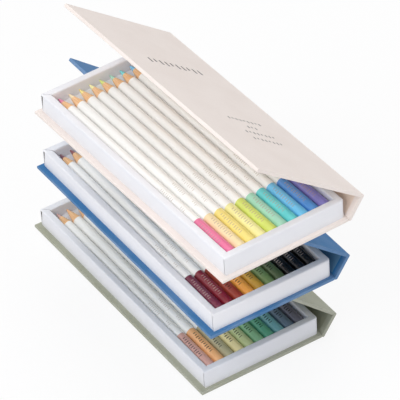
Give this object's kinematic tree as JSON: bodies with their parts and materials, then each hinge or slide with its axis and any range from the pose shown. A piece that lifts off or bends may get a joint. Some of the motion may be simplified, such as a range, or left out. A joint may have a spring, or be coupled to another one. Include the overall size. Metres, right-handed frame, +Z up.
{
  "type": "book-style pencil case set",
  "caption": "Book-style pencil cases propped open one above the other, each a hinged board cover round a folded card tray with a row of round colour pencils.",
  "frame": {"origin": "on the underside of the bottom case's back board, under the middle of its tray", "axes": "+X along the pencils towards their butt ends, +Y towards the spine, +Z up"},
  "size_m": [0.2621, 0.1231, 0.2142],
  "materials": {
    "top_cover_paper": "matte",
    "top_liner_paper": "matte",
    "middle_cover_paper": "matte",
    "middle_liner_paper": "matte",
    "bottom_cover_paper": "matte",
    "bottom_liner_paper": "matte",
    "grey_board": "matte",
    "tray_card": "satin",
    "white_lacquered_wood": "gloss"
  },
  "bodies": {
    "bottom_case": {"bottom_back_board": "grey_board", "bottom_back_wrap": "bottom_cover_paper", "bottom_tray_floor": "tray_card", "bottom_tray_side_walls": "tray_card", "bottom_tray_end_walls": "tray_card"},
    "bottom_spine": {"bottom_spine_board": "bottom_liner_paper", "bottom_spine_wrap": "bottom_cover_paper"},
    "bottom_lid": {"bottom_lid_board": "grey_board", "bottom_lid_wrap": "bottom_cover_paper", "bottom_lid_liner": "bottom_liner_paper"},
    "bottom_pencil_01": {"bottom_pencil_01": "white_lacquered_wood"},
    "bottom_pencil_02": {"bottom_pencil_02": "white_lacquered_wood"},
    "bottom_pencil_03": {"bottom_pencil_03": "white_lacquered_wood"},
    "bottom_pencil_04": {"bottom_pencil_04": "white_lacquered_wood"},
    "bottom_pencil_05": {"bottom_pencil_05": "white_lacquered_wood"},
    "bottom_pencil_06": {"bottom_pencil_06": "white_lacquered_wood"},
    "bottom_pencil_07": {"bottom_pencil_07": "white_lacquered_wood"},
    "bottom_pencil_08": {"bottom_pencil_08": "white_lacquered_wood"},
    "bottom_pencil_09": {"bottom_pencil_09": "white_lacquered_wood"},
    "bottom_pencil_10": {"bottom_pencil_10": "white_lacquered_wood"},
    "middle_case": {"middle_back_board": "grey_board", "middle_back_wrap": "middle_cover_paper", "middle_tray_floor": "tray_card", "middle_tray_side_walls": "tray_card", "middle_tray_end_walls": "tray_card"},
    "middle_spine": {"middle_spine_board": "middle_liner_paper", "middle_spine_wrap": "middle_cover_paper"},
    "middle_lid": {"middle_lid_board": "grey_board", "middle_lid_wrap": "middle_cover_paper", "middle_lid_liner": "middle_liner_paper"},
    "middle_pencil_01": {"middle_pencil_01": "white_lacquered_wood"},
    "middle_pencil_02": {"middle_pencil_02": "white_lacquered_wood"},
    "middle_pencil_03": {"middle_pencil_03": "white_lacquered_wood"},
    "middle_pencil_04": {"middle_pencil_04": "white_lacquered_wood"},
    "middle_pencil_05": {"middle_pencil_05": "white_lacquered_wood"},
    "middle_pencil_06": {"middle_pencil_06": "white_lacquered_wood"},
    "middle_pencil_07": {"middle_pencil_07": "white_lacquered_wood"},
    "middle_pencil_08": {"middle_pencil_08": "white_lacquered_wood"},
    "middle_pencil_09": {"middle_pencil_09": "white_lacquered_wood"},
    "middle_pencil_10": {"middle_pencil_10": "white_lacquered_wood"},
    "top_case": {"top_back_board": "grey_board", "top_back_wrap": "top_cover_paper", "top_tray_floor": "tray_card", "top_tray_side_walls": "tray_card", "top_tray_end_walls": "tray_card"},
    "top_spine": {"top_spine_board": "top_liner_paper", "top_spine_wrap": "top_cover_paper"},
    "top_lid": {"top_lid_board": "grey_board", "top_lid_wrap": "top_cover_paper", "top_lid_liner": "top_liner_paper"},
    "top_pencil_01": {"top_pencil_01": "white_lacquered_wood"},
    "top_pencil_02": {"top_pencil_02": "white_lacquered_wood"},
    "top_pencil_03": {"top_pencil_03": "white_lacquered_wood"},
    "top_pencil_04": {"top_pencil_04": "white_lacquered_wood"},
    "top_pencil_05": {"top_pencil_05": "white_lacquered_wood"},
    "top_pencil_06": {"top_pencil_06": "white_lacquered_wood"},
    "top_pencil_07": {"top_pencil_07": "white_lacquered_wood"},
    "top_pencil_08": {"top_pencil_08": "white_lacquered_wood"},
    "top_pencil_09": {"top_pencil_09": "white_lacquered_wood"},
    "top_pencil_10": {"top_pencil_10": "white_lacquered_wood"}
  },
  "joints": [
    {"name": "bottom_lower_fold", "type": "hinge", "parent": "bottom_case", "child": "bottom_spine", "pos_m": [0, 0.04265, 0.0011], "axis": [-1, 0, 0], "range_deg": [-36, 0]},
    {"name": "bottom_upper_fold", "type": "hinge", "parent": "bottom_spine", "child": "bottom_lid", "pos_m": [0, 0.05158, 0.0134], "axis": [-1, 0, 0], "range_deg": [-7.5, 0]},
    {"name": "bottom_pencil_01_lift", "type": "slide", "parent": "bottom_case", "child": "bottom_pencil_01", "axis": [0, 0, 1], "range_m": [0, 0.009]},
    {"name": "bottom_pencil_02_lift", "type": "slide", "parent": "bottom_case", "child": "bottom_pencil_02", "axis": [0, 0, 1], "range_m": [0, 0.009]},
    {"name": "bottom_pencil_03_lift", "type": "slide", "parent": "bottom_case", "child": "bottom_pencil_03", "axis": [0, 0, 1], "range_m": [0, 0.009]},
    {"name": "bottom_pencil_04_lift", "type": "slide", "parent": "bottom_case", "child": "bottom_pencil_04", "axis": [0, 0, 1], "range_m": [0, 0.009]},
    {"name": "bottom_pencil_05_lift", "type": "slide", "parent": "bottom_case", "child": "bottom_pencil_05", "axis": [0, 0, 1], "range_m": [0, 0.009]},
    {"name": "bottom_pencil_06_lift", "type": "slide", "parent": "bottom_case", "child": "bottom_pencil_06", "axis": [0, 0, 1], "range_m": [0, 0.009]},
    {"name": "bottom_pencil_07_lift", "type": "slide", "parent": "bottom_case", "child": "bottom_pencil_07", "axis": [0, 0, 1], "range_m": [0, 0.009]},
    {"name": "bottom_pencil_08_lift", "type": "slide", "parent": "bottom_case", "child": "bottom_pencil_08", "axis": [0, 0, 1], "range_m": [0, 0.009]},
    {"name": "bottom_pencil_09_lift", "type": "slide", "parent": "bottom_case", "child": "bottom_pencil_09", "axis": [0, 0, 1], "range_m": [0, 0.009]},
    {"name": "bottom_pencil_10_lift", "type": "slide", "parent": "bottom_case", "child": "bottom_pencil_10", "axis": [0, 0, 1], "range_m": [0, 0.009]},
    {"name": "middle_case_lift", "type": "slide", "parent": "bottom_case", "child": "middle_case", "axis": [0, 0, 1], "range_m": [0, 0.06]},
    {"name": "middle_lower_fold", "type": "hinge", "parent": "middle_case", "child": "middle_spine", "pos_m": [0.0334, 0.03205, 0.07593], "axis": [-1, 0, 0], "range_deg": [-36, 0]},
    {"name": "middle_upper_fold", "type": "hinge", "parent": "middle_spine", "child": "middle_lid", "pos_m": [0.0334, 0.04098, 0.08822], "axis": [-1, 0, 0], "range_deg": [-4.5, 0]},
    {"name": "middle_pencil_01_lift", "type": "slide", "parent": "middle_case", "child": "middle_pencil_01", "axis": [0, 0, 1], "range_m": [0, 0.009]},
    {"name": "middle_pencil_02_lift", "type": "slide", "parent": "middle_case", "child": "middle_pencil_02", "axis": [0, 0, 1], "range_m": [0, 0.009]},
    {"name": "middle_pencil_03_lift", "type": "slide", "parent": "middle_case", "child": "middle_pencil_03", "axis": [0, 0, 1], "range_m": [0, 0.009]},
    {"name": "middle_pencil_04_lift", "type": "slide", "parent": "middle_case", "child": "middle_pencil_04", "axis": [0, 0, 1], "range_m": [0, 0.009]},
    {"name": "middle_pencil_05_lift", "type": "slide", "parent": "middle_case", "child": "middle_pencil_05", "axis": [0, 0, 1], "range_m": [0, 0.009]},
    {"name": "middle_pencil_06_lift", "type": "slide", "parent": "middle_case", "child": "middle_pencil_06", "axis": [0, 0, 1], "range_m": [0, 0.009]},
    {"name": "middle_pencil_07_lift", "type": "slide", "parent": "middle_case", "child": "middle_pencil_07", "axis": [0, 0, 1], "range_m": [0, 0.009]},
    {"name": "middle_pencil_08_lift", "type": "slide", "parent": "middle_case", "child": "middle_pencil_08", "axis": [0, 0, 1], "range_m": [0, 0.009]},
    {"name": "middle_pencil_09_lift", "type": "slide", "parent": "middle_case", "child": "middle_pencil_09", "axis": [0, 0, 1], "range_m": [0, 0.009]},
    {"name": "middle_pencil_10_lift", "type": "slide", "parent": "middle_case", "child": "middle_pencil_10", "axis": [0, 0, 1], "range_m": [0, 0.009]},
    {"name": "top_case_lift", "type": "slide", "parent": "middle_case", "child": "top_case", "axis": [0, 0, 1], "range_m": [0, 0.06]},
    {"name": "top_lower_fold", "type": "hinge", "parent": "top_case", "child": "top_spine", "pos_m": [0.06568, 0.01964, 0.14739], "axis": [-0.9997, -0.0262, 0], "range_deg": [-36, 54]},
    {"name": "top_upper_fold", "type": "hinge", "parent": "top_spine", "child": "top_lid", "pos_m": [0.06545, 0.02857, 0.15968], "axis": [-0.9997, -0.0262, 0], "range_deg": [-2, 88]},
    {"name": "top_pencil_01_lift", "type": "slide", "parent": "top_case", "child": "top_pencil_01", "axis": [0, 0, 1], "range_m": [0, 0.009]},
    {"name": "top_pencil_02_lift", "type": "slide", "parent": "top_case", "child": "top_pencil_02", "axis": [0, 0, 1], "range_m": [0, 0.009]},
    {"name": "top_pencil_03_lift", "type": "slide", "parent": "top_case", "child": "top_pencil_03", "axis": [0, 0, 1], "range_m": [0, 0.009]},
    {"name": "top_pencil_04_lift", "type": "slide", "parent": "top_case", "child": "top_pencil_04", "axis": [0, 0, 1], "range_m": [0, 0.009]},
    {"name": "top_pencil_05_lift", "type": "slide", "parent": "top_case", "child": "top_pencil_05", "axis": [0, 0, 1], "range_m": [0, 0.009]},
    {"name": "top_pencil_06_lift", "type": "slide", "parent": "top_case", "child": "top_pencil_06", "axis": [0, 0, 1], "range_m": [0, 0.009]},
    {"name": "top_pencil_07_lift", "type": "slide", "parent": "top_case", "child": "top_pencil_07", "axis": [0, 0, 1], "range_m": [0, 0.009]},
    {"name": "top_pencil_08_lift", "type": "slide", "parent": "top_case", "child": "top_pencil_08", "axis": [0, 0, 1], "range_m": [0, 0.009]},
    {"name": "top_pencil_09_lift", "type": "slide", "parent": "top_case", "child": "top_pencil_09", "axis": [0, 0, 1], "range_m": [0, 0.009]},
    {"name": "top_pencil_10_lift", "type": "slide", "parent": "top_case", "child": "top_pencil_10", "axis": [0, 0, 1], "range_m": [0, 0.009]}
  ]
}
